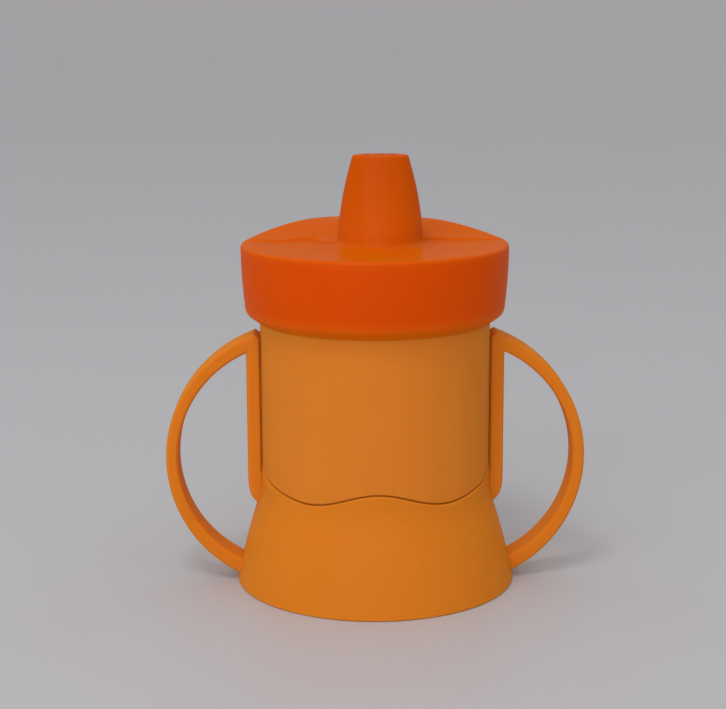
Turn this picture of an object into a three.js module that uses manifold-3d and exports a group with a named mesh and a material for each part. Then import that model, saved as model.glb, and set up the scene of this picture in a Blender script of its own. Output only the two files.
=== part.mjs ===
// Child's training beaker: a plain tumbler that drops into a flared holder with two
// loop handles, and a push-on drinking lid with a spout. Each of the three mouldings is
// made in a few simple pieces that stand a hair apart and move as one.
// Millimetres, +Z up. The origin is the centre of the holder's bottom rim, the handles
// lie along X, and -Y is the front.
import * as THREE from 'three';
import { mergeVertices } from 'three/addons/utils/BufferGeometryUtils.js';
import Module from 'manifold-3d';

const wasm = await Module();
wasm.setup();

// ---------------------------------------------------------------- driving dimensions
const FIT_GAP = 0.3; // clearance between two pieces that touch
const SEGMENTS = 48; // facets round every turned shape

const BASE_RADIUS = 45; // holder, at the table
const WAIST_RADIUS = 38.5; // holder, where the flare ends
const WAIST_HEIGHT = 24.5;
const FLARE_CONTROL_RADIUS = 42.3; // the flare's curve is pulled towards this point
const FLARE_CONTROL_HEIGHT = 13;
const HOLDER_WALL = 2;
const FLOOR_TOP = 24; // the ledge that the tumbler stands on
const FLOOR_THICKNESS = 1.8;
const FLOOR_UNDERSIDE = FLOOR_TOP - FLOOR_THICKNESS;
const FLOOR_HOLE_RADIUS = 12;

const TUMBLER_RADIUS = 36.6; // flush part, above the wavy seam
const FOOT_RADIUS = 34.6; // stepped-in foot, inside the holder
const TUMBLER_WALL = 2;
const TUMBLER_BOTTOM = FLOOR_TOP + FIT_GAP;
const TUMBLER_FLOOR_TOP = TUMBLER_BOTTOM + 2.2;
const INNER_CORNER = 3; // rounding inside, between its floor and its wall
const HEEL_TOP = TUMBLER_FLOOR_TOP + INNER_CORNER;
const TUMBLER_TOP = 107.4;
const BARREL_BOTTOM = 46; // the barrel is a plain ring from here up

const WAVE_MEAN = 35.15; // height of the seam's centre line
const WAVE_HEIGHT = 2.25; // crest above the centre line
const WAVE_LENGTH = 44;
const WAVE_END = 33; // x where the wave turns up into the vertical edge
const SEAM_TOP = 41.5; // height where the turned-up seam is vertical

const HANDLE_DEPTH = 11; // front to back
const HANDLE_EDGE = 1; // rounding of its long edges
const ARM_INNER = 37; // x of the arm's face beside the tumbler
const ARM_OUTER = 41;
const ARM_CREST_X = 38.2; // highest point of the arm
const ARM_SHOULDER = 79.6; // the arm's top slopes down to here, to guide the tumbler in
const ARM_TIP = 26.4; // the arm's rounded lower end
const LOOP_OUTER = { x: 24, z: 40.5, radius: 43.2 };
const LOOP_INNER = { x: 25.6, z: 40.7, radius: 37.7 };

const LID_RADIUS = 42.3;
const LID_RIM = 109.7; // height of the front ledge
const LID_BOTTOM = 85.3;
const LID_LIP_RADIUS = TUMBLER_RADIUS + 0.4;
const LID_PLATE = 1.9; // thickness of the lid's top
const LID_HOLLOW_RADIUS = 33; // inside this the plate's underside follows its top
const PLATE_BOTTOM = LID_RIM - LID_PLATE - 0.1; // the rim is divided from the plate here
const CROWN_RISE = 4.9; // the raised rear of the lid above the ledge
const CROWN_FLAT = 30; // radius inside which the crown is level
const CROWN_STEP = 0.32; // share of the rise that is a step at the crease
const CREASE_Y = 3.5; // where the step stands
const CREASE_WIDTH = 3;
const CROWN_LENGTH = 18; // the rest of the rise is spread over this distance

const SPOUT_X = 1.7;
const SPOUT_Y = -4;
const SPOUT_TOP = 137.6;
const SPOUT_BASE_RADIUS = 13.35;
const SPOUT_ROOT_RADIUS = 16; // round patch of the lid's top that the spout grows from
const SPOUT_TIP_RADIUS = 8.85;
const SPOUT_TIP_FLATNESS = 0.62; // depth of the oval tip over its width
const SPOUT_WALL = 1.8;
const SPOUT_MIDDLE = 121.5; // the spout is divided at this height
const DRINKING_HOLE_RADIUS = 1.3;
const DRINKING_HOLE_PITCH = 4.2;
const VENT_RADIUS = 0.9;
const VENT_Y = 24;

// ---------------------------------------------------------------- materials
const plastic = (color, roughness) =>
  new THREE.MeshStandardMaterial({ color, roughness, metalness: 0 });
const holderPlastic = plastic(0xe07c22, 0.42);
const tumblerPlastic = plastic(0xdd8030, 0.4);
const lidPlastic = plastic(0xd95400, 0.28);

// ---------------------------------------------------------------- solids
function solid(geometry) {
  const bare = geometry.clone();
  bare.deleteAttribute('normal');
  bare.deleteAttribute('uv');
  const merged = mergeVertices(bare, 1e-4);
  const mesh = new wasm.Mesh({
    numProp: 3,
    vertProperties: new Float32Array(merged.attributes.position.array),
    triVerts: new Uint32Array(merged.index.array),
  });
  mesh.merge();
  return new wasm.Manifold(mesh);
}

function geometryOf(manifold) {
  const mesh = manifold.getMesh();
  const geometry = new THREE.BufferGeometry();
  geometry.setAttribute('position', new THREE.BufferAttribute(mesh.vertProperties, 3));
  geometry.setIndex(new THREE.BufferAttribute(mesh.triVerts, 1));
  geometry.computeVertexNormals();
  return geometry;
}

// A profile of [radius, height] points turned about Z. It starts and ends on the axis,
// or its last point repeats its first.
function turned(profile, segments = SEGMENTS) {
  const points = profile.map(([radius, height]) => new THREE.Vector2(radius, height));
  return new THREE.LatheGeometry(points, segments).rotateX(Math.PI / 2);
}

// An outline of [x, z] points, extruded along Y and centred on y = 0.
function extrudedAlongY(outline, depth, bevel = 0) {
  const flat = depth - 2 * bevel;
  const shape = new THREE.Shape(outline.map(([x, z]) => new THREE.Vector2(x, z)));
  return new THREE.ExtrudeGeometry(shape, {
    depth: flat,
    steps: 1,
    bevelEnabled: bevel > 0,
    bevelThickness: bevel,
    bevelSize: bevel,
    bevelOffset: -bevel,
    bevelSegments: 2,
  })
    .translate(0, 0, -flat / 2)
    .rotateX(Math.PI / 2);
}

function curvePoints(start, control, end, steps) {
  const toVector = ([x, y]) => new THREE.Vector2(x, y);
  const curve = new THREE.QuadraticBezierCurve(...[start, control, end].map(toVector));
  return curve.getPoints(steps).map((p) => [p.x, p.y]);
}

function arcPoints(radius, x, z, startAngle, endAngle, steps = 3) {
  const points = [];
  for (let i = 0; i <= steps; i += 1) {
    const angle = THREE.MathUtils.lerp(startAngle, endAngle, i / steps);
    points.push([x + radius * Math.cos(angle), z + radius * Math.sin(angle)]);
  }
  return points;
}

// ---------------------------------------------------------------- wavy seam
const seamHeight = (x) => WAVE_MEAN + WAVE_HEIGHT * Math.cos((2 * Math.PI * x) / WAVE_LENGTH);

// Everything above the seam: the wave across the front, turned up at both sides.
function aboveSeam(halfWidth, drop, top) {
  const steps = 28;
  const wave = [];
  for (let i = 0; i <= steps; i += 1) {
    const x = THREE.MathUtils.lerp(-WAVE_END, WAVE_END, i / steps);
    wave.push([x, seamHeight(x) - drop]);
  }
  const end = wave.at(-1);
  const turnUp = curvePoints(end, [halfWidth, end[1] + 2], [halfWidth, SEAM_TOP - drop], 6);
  const otherTurnUp = turnUp.map(([x, z]) => [-x, z]).reverse();
  const outline = [
    [-halfWidth, top],
    ...otherTurnUp.slice(0, -1),
    ...wave,
    ...turnUp.slice(1),
    [halfWidth, top],
  ];
  return solid(extrudedAlongY(outline, 3 * BASE_RADIUS));
}

// ---------------------------------------------------------------- holder
const flare = (offset) =>
  curvePoints(
    [BASE_RADIUS - offset, 0],
    [FLARE_CONTROL_RADIUS - offset, FLARE_CONTROL_HEIGHT],
    [WAIST_RADIUS - offset, WAIST_HEIGHT],
    6,
  );

// Above the waist the flare eases into an upright collar.
const easeIntoCollar = (radius) => [
  [radius + 0.4, WAIST_HEIGHT + 5],
  [radius, WAIST_HEIGHT + 9],
];

function holderShell() {
  const socket = FOOT_RADIUS + FIT_GAP;
  const wallRadius = socket + HOLDER_WALL;
  const uncutTop = SEAM_TOP + 2; // the seam is cut below this afterwards
  const edge = 0.6;
  const outside = flare(0).slice(1);
  const inside = flare(HOLDER_WALL).filter(([, z]) => z < FLOOR_UNDERSIDE - 2);
  return solid(
    turned([
      [BASE_RADIUS - edge, 0],
      [BASE_RADIUS - 0.1, edge],
      ...outside,
      ...easeIntoCollar(wallRadius),
      [wallRadius, uncutTop],
      [socket, uncutTop],
      [socket, FLOOR_TOP],
      [FLOOR_HOLE_RADIUS, FLOOR_TOP],
      [FLOOR_HOLE_RADIUS, FLOOR_UNDERSIDE],
      [WAIST_RADIUS - HOLDER_WALL - 1.5, FLOOR_UNDERSIDE],
      ...inside.reverse(),
      [BASE_RADIUS - edge, 0],
    ]),
  );
}

// Height on a circle of the XZ plane at a given x, on its upper or lower half.
function onCircle(circle, x, half) {
  const rise = Math.sqrt(circle.radius ** 2 - (x - circle.x) ** 2);
  return circle.z + (half === 'upper' ? rise : -rise);
}

// One arm with its loop: up the arm, over the top, round the loop to the skirt and back.
function handleOutline() {
  const rootOuterX = BASE_RADIUS - 1.1;
  const rootInnerX = BASE_RADIUS - 2.6;
  const buried = ARM_INNER - 0.9;
  const throat = ARM_OUTER + 0.8;
  const loop = ({ x, z, radius }, start, end, steps) => arcPoints(radius, x, z, start, end, steps);
  const angleAt = (circle, x, half) =>
    Math.atan2(onCircle(circle, x, half) - circle.z, x - circle.x);
  const outerStart = angleAt(LOOP_OUTER, ARM_CREST_X, 'upper');
  const outerEnd = angleAt(LOOP_OUTER, rootOuterX, 'lower');
  const innerStart = angleAt(LOOP_INNER, rootInnerX, 'lower');
  const innerEnd = angleAt(LOOP_INNER, throat, 'upper');
  const tipStart = [ARM_OUTER, ARM_TIP + 8];
  return [
    [buried, ARM_TIP + 1.5],
    [buried, ARM_SHOULDER - 1.2],
    [ARM_INNER, ARM_SHOULDER + 0.8],
    ...loop(LOOP_OUTER, outerStart, outerEnd, 40),
    ...loop(LOOP_INNER, innerStart, innerEnd, 34),
    [ARM_OUTER, onCircle(LOOP_INNER, ARM_OUTER, 'upper') - 1],
    ...curvePoints(tipStart, [ARM_OUTER, ARM_TIP + 2], [ARM_OUTER - 2.8, ARM_TIP], 5),
  ];
}

// The holder's outside, filled in and grown by the fit gap.
function holderEnvelope() {
  const collar = FOOT_RADIUS + HOLDER_WALL + 2 * FIT_GAP;
  return solid(
    turned([
      [0, -1],
      [BASE_RADIUS + FIT_GAP, -1],
      ...flare(-FIT_GAP),
      ...easeIntoCollar(collar),
      [collar, SEAM_TOP],
      [0, SEAM_TOP],
    ]),
  );
}

const tumblerSeat = () => aboveSeam(ARM_INNER, FIT_GAP, LID_BOTTOM + 10);

function rightHandle() {
  return solid(extrudedAlongY(handleOutline(), HANDLE_DEPTH, HANDLE_EDGE))
    .subtract(tumblerSeat())
    .subtract(holderEnvelope());
}

// ---------------------------------------------------------------- tumbler
function tumbler() {
  const footCorner = 3.6;
  const innerFoot = FOOT_RADIUS - TUMBLER_WALL;
  const innerTop = TUMBLER_RADIUS - TUMBLER_WALL;
  const rimEdge = 0.5;
  const foot = turned([
    [0, TUMBLER_BOTTOM],
    ...arcPoints(footCorner, FOOT_RADIUS - footCorner, TUMBLER_BOTTOM + footCorner,
      -Math.PI / 2, 0),
    [FOOT_RADIUS, SEAM_TOP + 6],
    [0, SEAM_TOP + 6],
  ]);
  const barrel = turned([
    [0, TUMBLER_BOTTOM + 4],
    [TUMBLER_RADIUS, TUMBLER_BOTTOM + 4],
    [TUMBLER_RADIUS, TUMBLER_TOP - rimEdge],
    [TUMBLER_RADIUS - rimEdge, TUMBLER_TOP],
    [0, TUMBLER_TOP],
  ]);
  const cavity = turned([
    [0, TUMBLER_FLOOR_TOP],
    ...arcPoints(INNER_CORNER, innerFoot - INNER_CORNER, HEEL_TOP, -Math.PI / 2, 0),
    [innerFoot, SEAM_TOP - 3],
    [innerTop, SEAM_TOP + 4],
    [innerTop, TUMBLER_TOP + 2],
    [0, TUMBLER_TOP + 2],
  ]);
  const panel = aboveSeam(TUMBLER_RADIUS + 0.1, 0, TUMBLER_TOP + 2);
  return solid(barrel).intersect(panel).add(solid(foot)).subtract(solid(cavity));
}

// The part of a solid between two heights.
function slice(piece, bottom, top) {
  const reach = 2 * BASE_RADIUS;
  const slab = solid(turned([[0, bottom], [reach, bottom], [reach, top], [0, top]]));
  return piece.intersect(slab);
}

// ---------------------------------------------------------------- lid
const smooth = (t) => THREE.MathUtils.smoothstep(t, 0, 1);

// Height of the lid's top above the front ledge: a conical shoulder up to a level crown
// at the rear, which ends at the front in a low step with a gentle slope behind it.
function relief(x, y) {
  const radius = Math.hypot(x, y);
  const shoulder = THREE.MathUtils.clamp(
    (LID_RADIUS - 0.8 - radius) / (LID_RADIUS - 0.8 - CROWN_FLAT), 0, 1,
  );
  const behind = y - CREASE_Y;
  const step = CROWN_STEP * smooth(behind / CREASE_WIDTH);
  const slope = (1 - CROWN_STEP) * smooth(behind / CROWN_LENGTH);
  return Math.min(CROWN_RISE * shoulder, CROWN_RISE * (step + slope));
}

function lidBody() {
  const underside = LID_RIM - LID_PLATE;
  const edge = 1.3;
  const topRings = [0, 7, 14, 19, 24, 28, 32, 36, 39];
  const underRings = [LID_HOLLOW_RADIUS - 1, 28, 22, 15, 8, 0];
  const side = LID_RADIUS - 1.1;
  const geometry = turned([
    ...underRings.toReversed().map((radius) => [radius, underside]),
    [LID_HOLLOW_RADIUS + 0.5, underside],
    [LID_RADIUS - 3, underside],
    [LID_RADIUS - 2.1, underside - 1],
    [side - 2, LID_BOTTOM + 5],
    [side - 2.8, LID_BOTTOM + 3.2],
    [LID_LIP_RADIUS, LID_BOTTOM + 1.6],
    [LID_LIP_RADIUS, LID_BOTTOM],
    [LID_LIP_RADIUS + 0.5, LID_BOTTOM],
    [side - 1.6, LID_BOTTOM + 2],
    [side - 0.4, LID_BOTTOM + 3.3],
    [side, LID_BOTTOM + 5],
    [LID_RADIUS, LID_RIM - 3.5],
    ...arcPoints(edge, LID_RADIUS - edge, LID_RIM - edge, 0, Math.PI / 2),
    ...topRings.toReversed().map((radius) => [radius, LID_RIM]),
  ]);
  raiseCrown(geometry, underside);
  return solid(geometry);
}

// Lifts the plate's top and underside together, so that its thickness stays.
function raiseCrown(geometry, underside) {
  const position = geometry.attributes.position;
  for (let i = 0; i < position.count; i += 1) {
    const x = position.getX(i);
    const y = position.getY(i);
    const z = position.getZ(i);
    const radius = Math.hypot(x, y);
    const isUnderside = Math.abs(z - underside) < 0.01 && radius < LID_HOLLOW_RADIUS;
    const isTop = z > LID_RIM - 0.01;
    if (isUnderside || isTop) position.setZ(i, z + relief(x, y));
  }
}

// The spout is round at its base and oval at its tip.
function spoutSurface(inset, top, bottom, flange) {
  const side = curvePoints(
    [SPOUT_BASE_RADIUS - inset, LID_RIM + 1.5],
    [SPOUT_BASE_RADIUS - 0.5 - inset, 123.5],
    [SPOUT_TIP_RADIUS - inset, top - 0.9],
    7,
  );
  const geometry = turned([
    [0, bottom],
    [SPOUT_BASE_RADIUS + flange - inset, bottom],
    [SPOUT_BASE_RADIUS + flange - inset, LID_RIM - LID_PLATE + 0.9],
    [SPOUT_BASE_RADIUS + flange * 0.35 - inset, LID_RIM + 0.5],
    ...side,
    [SPOUT_TIP_RADIUS - 0.3 - inset, top - 0.3],
    [SPOUT_TIP_RADIUS - 1.1 - inset, top],
    [0, top],
  ], 32);
  const position = geometry.attributes.position;
  for (let i = 0; i < position.count; i += 1) {
    const rise = (position.getZ(i) - LID_RIM) / (SPOUT_TOP - LID_RIM);
    const flatness = THREE.MathUtils.lerp(1, SPOUT_TIP_FLATNESS, smooth(rise));
    position.setY(i, position.getY(i) * flatness);
  }
  return solid(geometry.translate(SPOUT_X, SPOUT_Y, 0));
}

function pin(radius, x, y, bottom, top, segments = 16) {
  const height = top - bottom;
  const geometry = new THREE.CylinderGeometry(radius, radius, height, segments);
  return solid(geometry.rotateX(Math.PI / 2).translate(x, y, (bottom + top) / 2));
}

const aroundSpout = (radius) =>
  pin(radius, SPOUT_X, SPOUT_Y, LID_RIM - 4, LID_RIM + CROWN_RISE + 2, 32);

function spout(body) {
  const flange = SPOUT_ROOT_RADIUS - SPOUT_BASE_RADIUS;
  const outside = spoutSurface(0, SPOUT_TOP, LID_RIM - LID_PLATE + 0.3, flange);
  const bore = spoutSurface(SPOUT_WALL, SPOUT_TOP - 1.7, LID_RIM - LID_PLATE - 3, 0);
  let piece = body.intersect(aroundSpout(SPOUT_ROOT_RADIUS)).add(outside).subtract(bore);
  for (const place of [-1, 0, 1]) {
    const x = SPOUT_X + place * DRINKING_HOLE_PITCH;
    piece = piece.subtract(
      pin(DRINKING_HOLE_RADIUS, x, SPOUT_Y, SPOUT_TOP - 3, SPOUT_TOP + 1),
    );
  }
  return piece;
}

function lid(body) {
  const vent = pin(VENT_RADIUS, 0, VENT_Y, LID_RIM - 4, LID_RIM + CROWN_RISE + 2);
  return body.subtract(aroundSpout(SPOUT_ROOT_RADIUS + FIT_GAP)).subtract(vent);
}

// ---------------------------------------------------------------- assembly
function named(name, manifold, material) {
  const mesh = new THREE.Mesh(geometryOf(manifold), material);
  mesh.name = name;
  return mesh;
}

const wholeHolder = holderShell().subtract(tumblerSeat());
const handle = rightHandle();
const wholeTumbler = tumbler();
const lidShell = lidBody();
const wholeLid = lid(lidShell);
const wholeSpout = spout(lidShell);
const underEverything = -1;
const overEverything = SPOUT_TOP + 1;

const group = new THREE.Group();
const add = (name, piece, material) => group.add(named(name, piece, material));

add('holder_skirt', slice(wholeHolder, underEverything, FLOOR_UNDERSIDE - FIT_GAP), holderPlastic);
add('holder_floor', slice(wholeHolder, FLOOR_UNDERSIDE, FLOOR_TOP), holderPlastic);
add('holder_collar', slice(wholeHolder, FLOOR_TOP + FIT_GAP, overEverything), holderPlastic);
add('right_handle', handle, holderPlastic);
add('left_handle', handle.rotate([0, 0, 180]), holderPlastic);

add('tumbler_floor', slice(wholeTumbler, underEverything, TUMBLER_FLOOR_TOP), tumblerPlastic);
add('tumbler_heel', slice(wholeTumbler, TUMBLER_FLOOR_TOP + FIT_GAP, HEEL_TOP), tumblerPlastic);
add('tumbler_foot', slice(wholeTumbler, HEEL_TOP + FIT_GAP, BARREL_BOTTOM - FIT_GAP), tumblerPlastic);
add('tumbler_barrel', slice(wholeTumbler, BARREL_BOTTOM, overEverything), tumblerPlastic);

add('lid_rim', slice(wholeLid, underEverything, PLATE_BOTTOM - FIT_GAP), lidPlastic);
add('lid', slice(wholeLid, PLATE_BOTTOM, overEverything), lidPlastic);
add('spout_root', slice(wholeSpout, underEverything, SPOUT_MIDDLE - FIT_GAP), lidPlastic);
add('spout', slice(wholeSpout, SPOUT_MIDDLE, overEverything), lidPlastic);

export default group;
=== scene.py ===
"""A child's training beaker: tumbler, flared holder with two loop handles, spouted lid.

Each of the three real mouldings is one smooth mesh here, and stands for the few plain
pieces that the frame has for it.
"""
import math

import bmesh
import bpy
from mathutils import Matrix, Vector

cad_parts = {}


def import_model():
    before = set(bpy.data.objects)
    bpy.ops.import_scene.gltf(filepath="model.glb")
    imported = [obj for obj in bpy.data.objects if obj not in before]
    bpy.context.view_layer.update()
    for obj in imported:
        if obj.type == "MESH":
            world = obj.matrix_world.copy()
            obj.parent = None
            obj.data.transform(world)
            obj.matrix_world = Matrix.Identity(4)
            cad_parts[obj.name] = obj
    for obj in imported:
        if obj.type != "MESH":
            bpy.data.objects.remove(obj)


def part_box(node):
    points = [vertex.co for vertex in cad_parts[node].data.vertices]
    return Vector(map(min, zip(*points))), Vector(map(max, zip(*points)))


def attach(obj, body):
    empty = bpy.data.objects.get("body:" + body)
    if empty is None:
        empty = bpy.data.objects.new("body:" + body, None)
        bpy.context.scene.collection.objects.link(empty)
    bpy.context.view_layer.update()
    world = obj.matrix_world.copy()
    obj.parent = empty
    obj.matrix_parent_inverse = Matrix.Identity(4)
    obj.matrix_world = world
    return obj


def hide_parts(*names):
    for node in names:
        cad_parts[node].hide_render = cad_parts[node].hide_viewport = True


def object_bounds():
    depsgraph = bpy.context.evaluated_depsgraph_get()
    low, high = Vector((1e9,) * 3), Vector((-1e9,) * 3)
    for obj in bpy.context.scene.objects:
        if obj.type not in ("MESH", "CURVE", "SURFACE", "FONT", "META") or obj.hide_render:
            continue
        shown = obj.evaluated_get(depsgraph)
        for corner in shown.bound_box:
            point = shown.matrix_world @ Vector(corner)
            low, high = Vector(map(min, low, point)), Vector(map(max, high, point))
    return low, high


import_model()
cad_low, cad_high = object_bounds()

# ------------------------------------------------------------------ dimensions
MM = 0.001  # shapes are worked out in millimetres, and made in metres


def box_mm(node):
    """A frame node's lowest and highest corner, in millimetres."""
    low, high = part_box(node)
    return low / MM, high / MM


skirt_high = box_mm("holder_skirt")[1]
tumbler_low = box_mm("tumbler_floor")[0]
barrel_high = box_mm("tumbler_barrel")[1]
lid_low = box_mm("lid_rim")[0]
spout_low, spout_high = box_mm("spout")
handle_low, handle_high = box_mm("right_handle")

FIT_GAP = 0.3
SEAM_GAP = 0.4  # width of the groove along the wavy seam
SEAM_EDGE = 0.45  # rounding of its two edges
INSIDE = 0.02  # how far the fine surfaces keep inside the frame's own

BASE_RADIUS = skirt_high.y - INSIDE
FLARE_CONTROL = (42.3, 13.0)  # radius and height that the flare bends towards
WAIST = (38.5, 24.5)
COLLAR_RADIUS = 36.9
COLLAR_CONTROL = (COLLAR_RADIUS, 29.35)
COLLAR_START = 34.0
HOLDER_WALL = 2.0
FLOOR_TOP = 24.0
FLOOR_THICKNESS = 1.8
FLOOR_HOLE_RADIUS = 12.0
FLOOR_HOLE_EDGE = 0.4

TUMBLER_RADIUS = barrel_high.y
FOOT_RADIUS = 34.6
TUMBLER_WALL = 2.0
TUMBLER_FLOOR = 2.2
GROOVE_FLOOR = 35.3  # radius of the tumbler behind the seam's groove
GROOVE_HEIGHT = 1.5
REBATE_RADIUS = GROOVE_FLOOR + 0.15  # inside of the holder's lip, thinned beside the groove
REBATE_DEPTH = 1.9
TUMBLER_BOTTOM = tumbler_low.z
TUMBLER_TOP = barrel_high.z

WAVE_MEAN = 35.15
WAVE_HEIGHT = 2.25
WAVE_LENGTH = 44.0
WAVE_END = 33.0
SEAM_TOP = 41.5

HANDLE_DEPTH = handle_high.y - handle_low.y
HANDLE_EDGE = 1.2
ARM_INNER = TUMBLER_RADIUS + 0.15  # the arm hugs the tumbler at this radius
SLOT_RADIUS = TUMBLER_RADIUS + 0.75  # but stands off it along both long edges
SLOT_DEPTH = 1.0
ARM_OUTER = 41.0
ARM_BURIED = 36.1
ARM_CREST_X = 38.2
ARM_SHOULDER = 80.4
ARM_TIP = 26.4
ARM_GAP_END = 36.5  # where the slot beside the arm closes
LOOP_OUTER = (24.0, 40.5, 43.2 - INSIDE)  # centre x, centre z, radius
LOOP_INNER = (25.6, 40.7, 37.7)

LID_RADIUS = 42.3
LID_RIM = 109.7
LID_BOTTOM = lid_low.z
LID_LIP_RADIUS = TUMBLER_RADIUS + 0.12
LID_PLATE = 1.9
LID_EDGE = 1.1
LID_HOLLOW_RADIUS = 33.0
LID_CORNER_RADIUS = 41.25  # where the side turns in to the chamfer
LID_CHAMFER_RADIUS = 40.1
LID_LIP_OUTER = 37.1
LID_INNER_RADIUS = 39.2
CROWN_RISE = 4.9
CROWN_LEAN = 0.01  # the crown is higher on the left, by this share of the way across
CROWN_FLAT = 30.0
CROWN_STEP = 0.12  # share of the rise that is a step at the crease
CREASE_WIDTH = 1.6
CREASE_DEPTH = 0.3  # a groove that the step rises from
CREASE_END = 37.0  # radius at which the groove is gone
CREASE_FADE = 6.0
SLOPE_START = 3.0  # y of the foot of the slope behind the step
CROWN_LENGTH = 21.0

SPOUT = ((spout_low + spout_high) / 2).xy
SPOUT_TOP = spout_high.z
# radius and height of the spout's side: its root, what it bends towards, its tip
SPOUT_SIDE = ((13.35, LID_RIM + 1.5), (12.85, 123.5), (8.85, SPOUT_TOP - 0.9))
SPOUT_FLATNESS = 0.62  # depth of the oval tip, as a share of its width
SPOUT_EDGE = 1.0
SPOUT_FILLET = 2.2
SPOUT_WALL = 1.8
SPOUT_TIP_WALL = 1.7
DRINKING_HOLE_RADIUS = 1.3
DRINKING_HOLE_PITCH = 4.2
VENT_RADIUS = 0.9
VENT_Y = 24.0

ROUND = 384  # points round every turned shape


# ------------------------------------------------------------------ curves
def lerp(a, b, t):
    return a + (b - a) * t


def lerp_point(start, end, t):
    return tuple(lerp(a, b, t) for a, b in zip(start, end))


def smooth(t):
    t = min(max(t, 0.0), 1.0)
    return t * t * (3 - 2 * t)


def bezier(start, control, end, steps):
    """Points of a quadratic curve, both ends included."""
    points = []
    for i in range(steps + 1):
        t = i / steps
        a, b, c = (1 - t) ** 2, 2 * t * (1 - t), t * t
        points.append(tuple(a * p + b * q + c * r for p, q, r in zip(start, control, end)))
    return points


def arc(x, z, radius, start, end, steps):
    """Points of an arc in degrees, both ends included."""
    points = []
    for i in range(steps + 1):
        angle = math.radians(lerp(start, end, i / steps))
        points.append((x + radius * math.cos(angle), z + radius * math.sin(angle)))
    return points


def curve_x_at(curve, z):
    """First coordinate of a quadratic curve where its second is z."""
    (x0, z0), (x1, z1), (x2, z2) = curve
    a, b, c = z0 - 2 * z1 + z2, 2 * (z1 - z0), z0 - z
    t = -c / b if abs(a) < 1e-6 else (-b + math.sqrt(max(b * b - 4 * a * c, 0))) / (2 * a)
    return (1 - t) ** 2 * x0 + 2 * t * (1 - t) * x1 + t * t * x2


def through(points, x):
    """Height at x of a smooth line through points, level at each of them."""
    if x <= points[0][0]:
        return points[0][1]
    for (xa, ya), (xb, yb) in zip(points, points[1:]):
        if x <= xb:
            return lerp(ya, yb, smooth((x - xa) / (xb - xa)))
    return points[-1][1]


# ------------------------------------------------------------------ meshes
def mesh_object(name, points, faces):
    mesh = bpy.data.meshes.new(name)
    mesh.from_pydata([Vector(p) * MM for p in points], [], faces)
    obj = bpy.data.objects.new(name, mesh)
    bpy.context.collection.objects.link(obj)
    return obj


def face_outwards(obj):
    shape = bmesh.new()
    shape.from_mesh(obj.data)
    bmesh.ops.recalc_face_normals(shape, faces=shape.faces)
    shape.to_mesh(obj.data)
    shape.free()
    return obj


def lofted(name, rings):
    """A closed skin through rings of points. A ring of one point closes an end, and
    where there is none the last ring joins the first."""
    points, faces, starts = [], [], []
    for ring in rings:
        starts.append(len(points))
        points.extend(ring)
    pairs = list(zip(range(len(rings)), range(1, len(rings))))
    if len(rings[0]) > 1:
        pairs.append((len(rings) - 1, 0))
    for a, b in pairs:
        size_a, size_b = len(rings[a]), len(rings[b])
        for i in range(max(size_a, size_b)):
            j = (i + 1) % max(size_a, size_b)
            if size_a == 1:
                faces.append((starts[a], starts[b] + i, starts[b] + j))
            elif size_b == 1:
                faces.append((starts[a] + i, starts[b], starts[a] + j))
            else:
                faces.append((starts[a] + i, starts[b] + i, starts[b] + j, starts[a] + j))
    return face_outwards(mesh_object(name, points, faces))


def angles(count=ROUND):
    return [2 * math.pi * i / count for i in range(count)]


def turned_ring(place):
    """A ring round Z; place(angle) gives its radius and height there."""
    ring = []
    for angle in angles():
        radius, height = place(angle)
        ring.append((radius * math.cos(angle), radius * math.sin(angle), height))
    return ring


def level_ring(radius, height):
    return turned_ring(lambda angle: (radius, height))


def level_rings(profile):
    return [level_ring(radius, height) for radius, height in profile]


def bar(name, sections, depth, edge):
    """A bar through flat sections, each spanning from an inner to an outer (x, z) point
    and `depth` along Y, with its long edges rounded."""
    rings = []
    for inner, outer in sections:
        across = Vector(outer) - Vector(inner)
        width = across.length
        radius = min(edge, 0.48 * width)
        ring = []
        for corner_u, corner_y, start in ((1, 1, 0), (0, 1, 90), (0, 0, 180), (1, 0, 270)):
            centre_u = width - radius if corner_u else radius
            centre_y = depth / 2 - radius if corner_y else radius - depth / 2
            for u, y in arc(centre_u, centre_y, radius, start, start + 90, 6):
                place = Vector(inner) + across * (u / width)
                ring.append((place.x, y, place.y))
        rings.append(ring)
    ends = [ring_centre(rings[0]), ring_centre(rings[-1])]
    return lofted(name, [[ends[0]], *rings, [ends[1]]])


def ring_centre(ring):
    return tuple(sum(values) / len(ring) for values in zip(*ring))


def pin(name, radius, x, y, bottom, top, segments=40):
    shape = bmesh.new()
    bmesh.ops.create_cone(shape, cap_ends=True, segments=segments, radius1=radius * MM,
                          radius2=radius * MM, depth=(top - bottom) * MM)
    mesh = bpy.data.meshes.new(name)
    shape.to_mesh(mesh)
    shape.free()
    obj = bpy.data.objects.new(name, mesh)
    mesh.transform(Matrix.Translation(Vector((x, y, (bottom + top) / 2)) * MM))
    bpy.context.collection.objects.link(obj)
    return obj


def curved_slab(name, inner, outer, half_angle, bottom, top):
    """A piece of a thin upright tube, centred on +X."""
    steps = 24
    points, faces = [], []
    for i in range(steps + 1):
        angle = math.radians(lerp(-half_angle, half_angle, i / steps))
        for radius, height in ((inner, bottom), (outer, bottom), (outer, top), (inner, top)):
            points.append((radius * math.cos(angle), radius * math.sin(angle), height))
    for i in range(steps):
        a, b = 4 * i, 4 * (i + 1)
        faces += [(a + k, a + (k + 1) % 4, b + (k + 1) % 4, b + k) for k in range(4)]
    last = 4 * steps
    faces += [(0, 1, 2, 3), (last, last + 1, last + 2, last + 3)]
    return face_outwards(mesh_object(name, points, faces))


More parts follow.
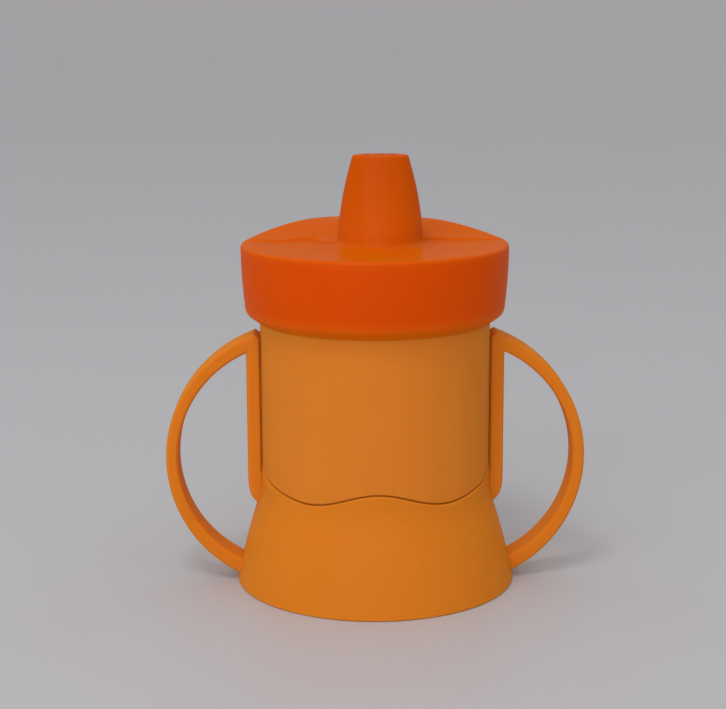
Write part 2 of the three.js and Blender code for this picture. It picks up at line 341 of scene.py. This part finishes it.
def combine(obj, tool, operation):
    """Joins tool to obj or cuts it away, and takes the tool out of the scene."""
    step = obj.modifiers.new(operation.lower(), "BOOLEAN")
    step.object = tool
    step.operation = operation
    step.solver = "EXACT"
    apply_steps(obj)
    bpy.data.objects.remove(tool, do_unlink=True)


def apply_steps(obj):
    """Turns the modifiers on obj into its mesh."""
    graph = bpy.context.evaluated_depsgraph_get()
    mesh = bpy.data.meshes.new_from_object(obj.evaluated_get(graph))
    obj.modifiers.clear()
    obj.data = mesh


def finish_surface(obj, crease=38):
    """Smooth shading that keeps real edges sharp and flat faces flat."""
    obj.data.shade_smooth()
    obj.data.set_sharp_from_angle(angle=math.radians(crease))
    step = obj.modifiers.new("flat_faces", "WEIGHTED_NORMAL")
    step.keep_sharp = True
    step.weight = 60
    apply_steps(obj)


# ------------------------------------------------------------------ wavy seam
def seam_height(angle):
    """Height of the seam: a wave across the front and back, turned up at both sides."""
    x = min(abs(TUMBLER_RADIUS * math.cos(angle)), TUMBLER_RADIUS)
    if x <= WAVE_END:
        return WAVE_MEAN + WAVE_HEIGHT * math.cos(2 * math.pi * x / WAVE_LENGTH)
    side = TUMBLER_RADIUS + 0.1
    end = WAVE_MEAN + WAVE_HEIGHT * math.cos(2 * math.pi * WAVE_END / WAVE_LENGTH)
    rise = 1 - math.sqrt((side - x) / (side - WAVE_END))
    return (1 - rise) ** 2 * end + 2 * rise * (1 - rise) * (end + 2) + rise ** 2 * SEAM_TOP


# ------------------------------------------------------------------ holder
def flare_radius(height, inset=0.0):
    """Outside radius of the holder: the skirt's flare, then an upright collar."""
    if height <= WAIST[1]:
        return curve_x_at(((BASE_RADIUS, 0), FLARE_CONTROL, WAIST), height) - inset
    if height <= COLLAR_START:
        top = (COLLAR_RADIUS, COLLAR_START)
        return curve_x_at((WAIST, COLLAR_CONTROL, top), height) - inset
    return COLLAR_RADIUS - inset


def holder_shell():
    foot_edge, inner_edge = 0.6, 0.2
    socket = FOOT_RADIUS + FIT_GAP
    underside = FLOOR_TOP - FLOOR_THICKNESS
    level_part = 26.0  # above this the rings follow the seam
    mid_floor = 24.0

    def top(angle):
        return seam_height(angle) - SEAM_GAP

    rings = level_rings(arc(BASE_RADIUS - foot_edge, foot_edge, foot_edge, -90, 0, 4))
    rings += [level_ring(flare_radius(z), z)
              for z in (1.5, *range(3, 24, 2), level_part - 1.5, level_part)]
    for share in (0.2, 0.4, 0.6, 0.8, 1.0):
        def place(angle, share=share):
            height = lerp(level_part, top(angle) - SEAM_EDGE, share)
            return flare_radius(height), height
        rings.append(turned_ring(place))
    for turn in (22.5, 45, 67.5, 90):
        def place(angle, turn=math.radians(turn)):
            outer = flare_radius(top(angle) - SEAM_EDGE) - SEAM_EDGE
            return outer + SEAM_EDGE * math.cos(turn), top(angle) + SEAM_EDGE * (math.sin(turn) - 1)
        rings.append(turned_ring(place))
    for turn in (90, 45, 0):
        def place(angle, turn=math.radians(turn)):
            radius = REBATE_RADIUS + inner_edge * (1 - math.cos(turn))
            return radius, top(angle) + inner_edge * (math.sin(turn) - 1)
        rings.append(turned_ring(place))
    for radius in (REBATE_RADIUS, socket):
        rings.append(turned_ring(lambda angle, radius=radius: (radius, top(angle) - REBATE_DEPTH)))
    rings += level_rings([(socket, FLOOR_TOP + 0.8), (socket - 0.3, FLOOR_TOP + 0.2),
                          (socket - 0.8, FLOOR_TOP), (mid_floor, FLOOR_TOP)])
    hole_side = FLOOR_HOLE_RADIUS + FLOOR_HOLE_EDGE
    rings += level_rings(arc(hole_side, FLOOR_TOP - FLOOR_HOLE_EDGE, FLOOR_HOLE_EDGE, 90, 180, 3))
    rings += level_rings(arc(hole_side, underside + FLOOR_HOLE_EDGE, FLOOR_HOLE_EDGE, 180, 270, 3))
    rings += level_rings([(mid_floor, underside), (WAIST[0] - HOLDER_WALL - 1.6, underside)])
    rings += [level_ring(flare_radius(z, HOLDER_WALL), z)
              for z in (20.4, *range(18, 0, -3), 0.6)]
    rings.append(level_ring(flare_radius(0, HOLDER_WALL) + 0.3, 0))
    return lofted("holder_body", rings)


def circle_height(circle, x, half):
    rise = math.sqrt(circle[2] ** 2 - (x - circle[0]) ** 2)
    return circle[1] + (rise if half == "upper" else -rise)


def circle_angle(circle, x, half):
    return math.degrees(math.atan2(circle_height(circle, x, half) - circle[1], x - circle[0]))


def loop_sections():
    """From the arm's top, round the loop, to just inside the skirt's wall."""
    inner_range = (circle_angle(LOOP_INNER, ARM_OUTER - 1.6, "upper"),
                   circle_angle(LOOP_INNER, BASE_RADIUS - 2.5, "lower"))
    outer_range = (circle_angle(LOOP_OUTER, ARM_CREST_X + 0.5, "upper"),
                   circle_angle(LOOP_OUTER, BASE_RADIUS - 1.0, "lower"))
    steps = 110
    return list(zip(arc(*LOOP_INNER, *inner_range, steps), arc(*LOOP_OUTER, *outer_range, steps)))


def loop():
    return bar("loop", loop_sections(), HANDLE_DEPTH, HANDLE_EDGE)


def arm_sections():
    """From the arm's rounded lower tip up to its crest, which slopes towards the tumbler."""
    tip = bezier((ARM_OUTER - 2.6, ARM_TIP + 0.05), (ARM_OUTER, ARM_TIP + 2),
                 (ARM_OUTER, ARM_TIP + 8), 14)
    sections = [((ARM_BURIED, z), (x, z)) for x, z in tip]
    crest = circle_height(LOOP_OUTER, ARM_CREST_X, "upper")
    upper = [lerp(ARM_TIP + 10, ARM_SHOULDER - 1.0, i / 12) for i in range(13)]
    sections += [((ARM_BURIED, z), (ARM_OUTER, z)) for z in upper]
    for i in range(1, 9):
        height = lerp(ARM_SHOULDER - 1.0, crest - 0.15, i / 8)
        inner_x = ARM_BURIED + (ARM_CREST_X - ARM_BURIED) * (i / 8) ** 2
        reach = math.sqrt(LOOP_OUTER[2] ** 2 - (height - LOOP_OUTER[1]) ** 2)
        sections.append(((inner_x, height), (min(ARM_OUTER, LOOP_OUTER[0] + reach), height)))
    return sections


def arm():
    """An arm whose inner face is hollowed to hug the tumbler."""
    piece = bar("arm", arm_sections(), HANDLE_DEPTH, HANDLE_EDGE)
    hollow = pin("hollow", ARM_INNER, 0, 0, ARM_GAP_END, TUMBLER_TOP, ROUND)
    combine(piece, hollow, "DIFFERENCE")
    return piece


def slot(side):
    """The slot between tumbler and arm, seen from the front or the back."""
    past_edge = 1  # degrees that the cut runs on past the arm
    edge = math.degrees(math.asin(HANDLE_DEPTH / 2 / ARM_INNER))
    floor_angle = math.degrees(math.asin((HANDLE_DEPTH / 2 - SLOT_DEPTH) / ARM_INNER))
    half_angle = (edge + past_edge - floor_angle) / 2
    piece = curved_slab("slot", TUMBLER_RADIUS + 0.1, SLOT_RADIUS, half_angle,
                        ARM_GAP_END, TUMBLER_TOP)
    turn = side * math.radians(floor_angle + half_angle)
    piece.data.transform(Matrix.Rotation(turn, 4, "Z"))
    return piece


def holder():
    body = holder_shell()
    for turn in (0, math.pi):
        for piece, operation in ((arm(), "UNION"), (loop(), "UNION"),
                                 (slot(-1), "DIFFERENCE"), (slot(1), "DIFFERENCE")):
            piece.data.transform(Matrix.Rotation(turn, 4, "Z"))
            combine(body, piece, operation)
    finish_surface(body)
    return body


# ------------------------------------------------------------------ tumbler
def tumbler():
    rim_edge, foot_corner, inside_corner = 0.7, 3.6, 3
    inner_foot = FOOT_RADIUS - TUMBLER_WALL
    inner_top = TUMBLER_RADIUS - TUMBLER_WALL
    floor_inside = TUMBLER_BOTTOM + TUMBLER_FLOOR

    rings = [[(0, 0, TUMBLER_BOTTOM)]]
    rings += level_rings([(10, TUMBLER_BOTTOM), (22, TUMBLER_BOTTOM)])
    rings += level_rings(arc(FOOT_RADIUS - foot_corner, TUMBLER_BOTTOM + foot_corner,
                             foot_corner, -90, 0, 8))
    for share in (0.5, 1.0):
        def place(angle, share=share):
            groove_bottom = seam_height(angle) - GROOVE_HEIGHT
            return FOOT_RADIUS, lerp(TUMBLER_BOTTOM + foot_corner, groove_bottom, share)
        rings.append(turned_ring(place))
    for drop in (GROOVE_HEIGHT, 0):
        rings.append(turned_ring(lambda angle, drop=drop: (GROOVE_FLOOR,
                                                           seam_height(angle) - drop)))
    for turn in (-90, -60, -30, 0):
        def place(angle, turn=math.radians(turn)):
            radius = TUMBLER_RADIUS - SEAM_EDGE * (1 - math.cos(turn))
            return radius, seam_height(angle) + SEAM_EDGE * (math.sin(turn) + 1)
        rings.append(turned_ring(place))
    for share in (0.15, 0.4, 0.7, 1.0):
        def place(angle, share=share):
            start = seam_height(angle) + SEAM_EDGE
            return TUMBLER_RADIUS, lerp(start, TUMBLER_TOP - rim_edge, share)
        rings.append(turned_ring(place))
    rings += level_rings(arc(TUMBLER_RADIUS - rim_edge, TUMBLER_TOP - rim_edge,
                             rim_edge, 18, 90, 4))
    rings += level_rings(arc(inner_top + rim_edge, TUMBLER_TOP - rim_edge,
                             rim_edge, 90, 180, 5))
    rings += level_rings([(inner_top, 90), (inner_top, 65)])
    for i in range(9):
        share = i / 8
        radius = lerp(inner_top, inner_foot, smooth(share))
        rings.append(level_ring(radius, lerp(SEAM_TOP + 4, SEAM_TOP - 3, share)))
    rings += level_rings(arc(inner_foot - inside_corner, floor_inside + inside_corner,
                             inside_corner, 0, -90, 7))
    rings += level_rings([(20, floor_inside), (9, floor_inside)])
    rings.append([(0, 0, floor_inside)])
    body = lofted("tumbler_body", rings)
    finish_surface(body)
    return body


# ------------------------------------------------------------------ lid
# The crown's front edge, seen from above: nearly straight, with a bay left of the spout.
CREASE_LINE = [(-36, 3.0), (-30, 2.0), (-21, 5.5), (-11, -4.0), (2, -5.0), (14, 5.0), (30, 3.0)]


def relief(x, y):
    """Height of the lid's top above its front ledge: a conical shoulder round a level
    crown at the rear, which ends at the front in a low step with a gentle slope."""
    radius = math.hypot(x, y)
    edge = LID_RADIUS - 0.8
    shoulder = min(max((edge - radius) / (edge - CROWN_FLAT), 0), 1)
    behind = y - through(CREASE_LINE, x)
    step = CROWN_STEP * smooth(behind / CREASE_WIDTH)
    slope = (1 - CROWN_STEP) * smooth((y - SLOPE_START) / CROWN_LENGTH)
    low, high = sorted((shoulder, step + slope))
    blend = 0.10  # rounds the line where the shoulder meets the slope
    close = max(blend - (high - low), 0) / blend
    rise = (CROWN_RISE - CROWN_LEAN * x) * max(low - close * close * blend / 4, 0)
    fade = smooth((CREASE_END - radius) / CREASE_FADE)
    groove = CREASE_DEPTH * math.exp(-(behind / CREASE_WIDTH) ** 2) * fade
    return rise - groove


def spout_ring(place):
    """A ring round the spout; place(angle) gives its radius and height there. The spout
    is round at its base and oval at its tip."""
    ring = []
    for angle in angles():
        radius, height = place(angle)
        flatness = lerp(1, SPOUT_FLATNESS, smooth((height - LID_RIM) / (SPOUT_TOP - LID_RIM)))
        x = SPOUT.x + radius * math.cos(angle)
        y = SPOUT.y + radius * math.sin(angle) * flatness
        ring.append((x, y, height))
    return ring


def plate_point(angle, share, start_radius, end_radius):
    """A place on the lid's plate, from a circle round the spout to one round the axis."""
    radius = lerp(start_radius, end_radius, share)
    return (lerp(SPOUT.x, 0, share) + radius * math.cos(angle),
            lerp(SPOUT.y, 0, share) + radius * math.sin(angle))


def plate_ring(share, start_radius, end_radius, height):
    ring = []
    for angle in angles():
        x, y = plate_point(angle, share, start_radius, end_radius)
        ring.append((x, y, height + relief(x, y)))
    return ring


def spout_outside():
    """Rings from the tip's centre down to where the spout's fillet meets the plate."""
    tip = SPOUT_SIDE[2]
    side_top = SPOUT_TOP - SPOUT_EDGE
    root = SPOUT_SIDE[0][0]

    def foot(angle):
        reach = root + SPOUT_FILLET
        return LID_RIM + relief(SPOUT.x + reach * math.cos(angle),
                                SPOUT.y + reach * math.sin(angle))

    rings = [[(SPOUT.x, SPOUT.y, SPOUT_TOP)]]
    for radius in (2.5, 5, 7):
        rings.append(spout_ring(lambda angle, radius=radius: (radius, SPOUT_TOP)))
    for radius, height in arc(tip[0] + 0.1 - SPOUT_EDGE, side_top, SPOUT_EDGE, 90, 8, 6):
        rings.append(spout_ring(lambda angle, at=(radius, height): at))
    steps = 26
    for i in range(1, steps + 1):
        def place(angle, share=i / steps):
            height = lerp(side_top - 0.2, foot(angle) + SPOUT_FILLET, share)
            return curve_x_at(SPOUT_SIDE, height), height
        rings.append(spout_ring(place))
    for i in range(1, 9):
        def place(angle, turn=math.radians(90 * i / 8)):
            start = curve_x_at(SPOUT_SIDE, foot(angle) + SPOUT_FILLET)
            reach = root + SPOUT_FILLET - start
            radius = start + reach * (1 - math.cos(turn))
            return radius, foot(angle) + SPOUT_FILLET * (1 - math.sin(turn))
        rings.append(spout_ring(place))
    return rings


def lid():
    root = SPOUT_SIDE[0][0] + SPOUT_FILLET
    flat_edge = LID_RADIUS - LID_EDGE
    rings = spout_outside()
    steps = 70
    for i in range(1, steps + 1):
        rings.append(plate_ring(i / steps, root, flat_edge, LID_RIM))
    rings += level_rings(arc(flat_edge, LID_RIM - LID_EDGE, LID_EDGE, 78, 0, 6))
    corner = (LID_CORNER_RADIUS, LID_BOTTOM + 5.1)
    chamfer = (LID_CHAMFER_RADIUS, LID_BOTTOM + 2.2)
    rings += level_rings(bezier((LID_RADIUS, LID_RIM - 3.0), (LID_RADIUS - 0.1, 99), corner, 9))
    rings += level_rings(bezier(corner, (41.15, LID_BOTTOM + 2.9), chamfer, 9)[1:])
    lip_edge = 0.25
    rings += level_rings([lerp_point(chamfer, (LID_LIP_OUTER, LID_BOTTOM + 0.1), t / 4)
                          for t in range(1, 5)])
    rings += level_rings(arc(LID_LIP_RADIUS + lip_edge, LID_BOTTOM + lip_edge,
                             lip_edge, 250, 180, 3))
    rings += level_rings([(LID_LIP_RADIUS, LID_BOTTOM + 1.2), (38.4, LID_BOTTOM + 3.2),
                          (LID_INNER_RADIUS, LID_BOTTOM + 5), (39.7, 98), (40.2, 106.8)])
    underside = LID_RIM - LID_PLATE
    rings += level_rings([(39.8, underside - 0.35), (LID_INNER_RADIUS, underside),
                          (LID_HOLLOW_RADIUS + 0.6, underside)])
    bore = SPOUT_SIDE[0][0] - SPOUT_WALL
    for i in range(13):
        rings.append(plate_ring(1 - i / 12, bore, LID_HOLLOW_RADIUS, underside))
    bore_corner = 0.8
    bore_top = SPOUT_TOP - SPOUT_TIP_WALL
    for i in range(13):
        def place(angle, share=i / 12):
            height = lerp(LID_RIM + 3.5, bore_top - bore_corner, share)
            return curve_x_at(SPOUT_SIDE, height) - SPOUT_WALL, height
        rings.append(spout_ring(place))
    end = curve_x_at(SPOUT_SIDE, bore_top - bore_corner) - SPOUT_WALL
    for radius in (end - bore_corner, 3.5):
        rings.append(spout_ring(lambda angle, radius=radius: (radius, bore_top)))
    rings.append([(SPOUT.x, SPOUT.y, bore_top)])
    body = lofted("lid_body", rings)
    for place in (-1, 0, 1):
        x = SPOUT.x + place * DRINKING_HOLE_PITCH
        combine(body, pin("drinking_hole", DRINKING_HOLE_RADIUS, x, SPOUT.y,
                          SPOUT_TOP - 4, SPOUT_TOP + 2), "DIFFERENCE")
    combine(body, pin("vent", VENT_RADIUS, 0, VENT_Y, LID_RIM - 4, LID_RIM + 10), "DIFFERENCE")
    finish_surface(body)
    return body


# ------------------------------------------------------------------ materials
COAT_IOR = 1.22  # a faint gloss seen face on that grows at a grazing view


def plastic(name, colour, deep_colour, roughness, glow, grain, gloss_weight, painted_light_bands=()):
    """Moulded plastic: faint cloudiness in the colour, uneven gloss, a fine skin
    texture and a slow waviness left by the mould. Each band is a colour that fades in
    between two heights: painted light and shade standing in for light through thin walls."""
    material = bpy.data.materials.new(name)
    material.use_nodes = True
    nodes, links = material.node_tree.nodes, material.node_tree.links
    shader = nodes["Principled BSDF"]
    shader.inputs["IOR"].default_value = 1.49
    shader.inputs["Specular IOR Level"].default_value = 0.0
    shader.inputs["Coat Roughness"].default_value = roughness
    shader.inputs["Coat IOR"].default_value = COAT_IOR
    shader.inputs["Subsurface Weight"].default_value = glow
    shader.inputs["Subsurface Radius"].default_value = (1.0, 0.32, 0.08)
    shader.inputs["Subsurface Scale"].default_value = 3.5 * MM
    place = nodes.new("ShaderNodeTexCoord").outputs["Object"]

    def noise(scale, detail):
        node = nodes.new("ShaderNodeTexNoise")
        node.inputs["Scale"].default_value = scale
        node.inputs["Detail"].default_value = detail
        links.new(place, node.inputs["Vector"])
        return node.outputs["Fac"]

    cloud = nodes.new("ShaderNodeMix")
    cloud.data_type = "RGBA"
    cloud.inputs[6].default_value = (*deep_colour, 1)
    cloud.inputs[7].default_value = (*colour, 1)
    links.new(noise(55, 3), cloud.inputs[0])
    tint = cloud.outputs[2]
    # painted light and shade: each band paints a lighter glow or a darker shade into the base
    # colour by height
    if painted_light_bands:
        height = nodes.new("ShaderNodeSeparateXYZ")
        links.new(place, height.inputs["Vector"])
    for start, end, painted_band_colour in painted_light_bands:
        fade = nodes.new("ShaderNodeMapRange")
        fade.interpolation_type = "SMOOTHSTEP"
        fade.inputs["From Min"].default_value = start * MM
        fade.inputs["From Max"].default_value = end * MM
        links.new(height.outputs["Z"], fade.inputs["Value"])
        band = nodes.new("ShaderNodeMix")
        band.data_type = "RGBA"
        band.inputs[7].default_value = (*painted_band_colour, 1)
        links.new(fade.outputs["Result"], band.inputs[0])
        links.new(tint, band.inputs[6])
        tint = band.outputs[2]
    links.new(tint, shader.inputs["Base Color"])

    gloss = nodes.new("ShaderNodeMapRange")
    gloss.inputs["To Min"].default_value = roughness - 0.06
    gloss.inputs["To Max"].default_value = roughness + 0.06
    links.new(noise(190, 4), gloss.inputs["Value"])
    links.new(gloss.outputs["Result"], shader.inputs["Roughness"])
    shine = nodes.new("ShaderNodeMapRange")
    shine.inputs["To Min"].default_value = 0.6 * gloss_weight
    shine.inputs["To Max"].default_value = 1.4 * gloss_weight
    links.new(noise(120, 4), shine.inputs["Value"])
    links.new(shine.outputs["Result"], shader.inputs["Coat Weight"])

    skin = nodes.new("ShaderNodeBump")
    skin.inputs["Strength"].default_value = grain
    skin.inputs["Distance"].default_value = 0.02 * MM
    links.new(noise(2600, 3), skin.inputs["Height"])
    wave = nodes.new("ShaderNodeBump")
    wave.inputs["Strength"].default_value = 0.5
    wave.inputs["Distance"].default_value = 0.12 * MM
    links.new(noise(38, 1), wave.inputs["Height"])
    links.new(skin.outputs["Normal"], wave.inputs["Normal"])
    for socket in ("Normal", "Coat Normal"):
        links.new(wave.outputs["Normal"], shader.inputs[socket])
    return material


# ------------------------------------------------------------------ pieces
def place_piece(piece, body, nodes, material):
    piece.data.materials.clear()
    piece.data.materials.append(material)
    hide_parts(*nodes)
    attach(piece, body)


light_orange = plastic("light_orange_plastic", (0.74, 0.225, 0.017), (0.70, 0.205, 0.014),
                       0.36, 0.45, 0.35, 0.22)
tumbler_orange = plastic("tumbler_orange_plastic", (0.75, 0.235, 0.027), (0.71, 0.215, 0.022),
                         0.34, 0.45, 0.3, 0.22)
deep_orange = plastic("deep_orange_plastic", (0.76, 0.083, 0.0004), (0.70, 0.070, 0.0003),
                      0.3, 0.45, 0.2, 0.32,
                      # painted glow: the thin lower lip is painted a lighter orange for light
                      # coming through it
                      painted_light_bands=((LID_BOTTOM + 7, LID_BOTTOM, (0.76, 0.14, 0.002)),
                             # painted light and shade: the rim's edge and the top plate are painted
                             # a darker, yellower orange
                             (LID_RIM - 3, LID_RIM + 1, (0.66, 0.105, 0.001)),
                             # painted shade: the spout is painted a darker orange
                             (LID_RIM + 4, LID_RIM + 18, (0.61, 0.088, 0.0003))))

HOLDER_NODES = ("holder_skirt", "holder_floor", "holder_collar", "right_handle", "left_handle")
TUMBLER_NODES = ("tumbler_floor", "tumbler_heel", "tumbler_foot", "tumbler_barrel")
LID_NODES = ("lid_rim", "lid", "spout_root", "spout")

place_piece(holder(), "holder", HOLDER_NODES, light_orange)
place_piece(tumbler(), "tumbler", TUMBLER_NODES, tumbler_orange)
place_piece(lid(), "lid", LID_NODES, deep_orange)


# ------------------------------------------------------------------ stage
WALL_COLOUR = (0.375, 0.358, 0.365)
CEILING_COLOUR = (0.64, 0.625, 0.635)


def floor():
    half = 60.0
    mesh = bpy.data.meshes.new("floor")
    mesh.from_pydata([(-half, -half, 0), (half, -half, 0), (half, half, 0), (-half, half, 0)],
                     [], [(0, 1, 2, 3)])
    obj = bpy.data.objects.new("floor", mesh)
    bpy.context.collection.objects.link(obj)
    material = bpy.data.materials.new("pale_floor")
    material.use_nodes = True
    nodes, links = material.node_tree.nodes, material.node_tree.links
    shader = nodes["Principled BSDF"]
    shader.inputs["Roughness"].default_value = 0.5
    tint = nodes.new("ShaderNodeMix")
    tint.data_type = "RGBA"
    tint.inputs[6].default_value = (0.522, 0.532, 0.552, 1)
    tint.inputs[7].default_value = (0.542, 0.552, 0.572, 1)
    cloud = nodes.new("ShaderNodeTexNoise")
    cloud.inputs["Scale"].default_value = 9
    links.new(nodes.new("ShaderNodeTexCoord").outputs["Object"], cloud.inputs["Vector"])
    links.new(cloud.outputs["Fac"], tint.inputs[0])
    links.new(tint.outputs[2], shader.inputs["Base Color"])
    mesh.materials.append(material)


def soft_light(name, place, size, power, colour):
    """A square soft light that faces the beaker."""
    light = bpy.data.lights.new(name, "AREA")
    light.shape = "SQUARE"
    light.size = size
    light.energy = power
    light.color = colour
    obj = bpy.data.objects.new(name, light)
    obj.location = place
    aim = Vector((0, 0, cad_high.z / 2)) - Vector(place)
    obj.rotation_euler = aim.to_track_quat("-Z", "Y").to_euler()
    bpy.context.collection.objects.link(obj)


def camera():
    """A level-headed view from the front, a little above and turned a touch to the left."""
    distance, height = 0.5296, 0.18374
    pitch, roll, yaw = (math.radians(a) for a in (11.757, -0.217, -0.333))
    turn = math.radians(-1.5)  # the beaker stands turned by this against the view
    aside = Vector((0.00075, 0, 0))
    lens, sensor = 83.83934, 36.0

    ahead = Vector((math.sin(yaw) * math.cos(pitch), math.cos(yaw) * math.cos(pitch),
                    -math.sin(pitch)))
    above = Vector((math.sin(yaw) * math.sin(pitch), math.cos(yaw) * math.sin(pitch),
                    math.cos(pitch)))
    right = Vector((math.cos(yaw), -math.sin(yaw), 0))
    rolled_right = right * math.cos(roll) + above * math.sin(roll)
    rolled_above = above * math.cos(roll) - right * math.sin(roll)
    view = Matrix((rolled_right, rolled_above, -ahead)).transposed().to_4x4()
    view.translation = Vector((0, -distance, height)) - aside

    data = bpy.data.cameras.new("camera")
    data.sensor_width = sensor
    data.lens = lens
    data.clip_start = 0.01
    data.clip_end = 100
    obj = bpy.data.objects.new("camera", data)
    obj.matrix_world = Matrix.Rotation(turn, 4, "Z") @ view
    bpy.context.collection.objects.link(obj)
    bpy.context.scene.camera = obj


def world():
    """A pale room, darker at the height of its walls than at its ceiling."""
    sky = bpy.data.worlds.new("pale_room")
    sky.use_nodes = True
    nodes, links = sky.node_tree.nodes, sky.node_tree.links
    height = nodes.new("ShaderNodeSeparateXYZ")
    links.new(nodes.new("ShaderNodeTexCoord").outputs["Generated"], height.inputs["Vector"])
    fade = nodes.new("ShaderNodeMapRange")
    fade.interpolation_type = "SMOOTHSTEP"
    fade.inputs["From Min"].default_value = 0.0
    fade.inputs["From Max"].default_value = 0.7
    links.new(height.outputs["Z"], fade.inputs["Value"])
    shade = nodes.new("ShaderNodeMix")
    shade.data_type = "RGBA"
    shade.inputs[6].default_value = (*WALL_COLOUR, 1)
    shade.inputs[7].default_value = (*CEILING_COLOUR, 1)
    links.new(fade.outputs["Result"], shade.inputs[0])
    links.new(shade.outputs[2], nodes["Background"].inputs["Color"])
    bpy.context.scene.world = sky


floor()
world()
soft_light("lamp", (-0.25, -0.68, 1.33), 0.35, 4.0, (1.0, 0.98, 0.97))
soft_light("window", (-0.50, -1.50, 0.42), 1.6, 13.0, (1.0, 0.98, 0.96))
camera()
bpy.context.scene.view_settings.view_transform = "Standard"
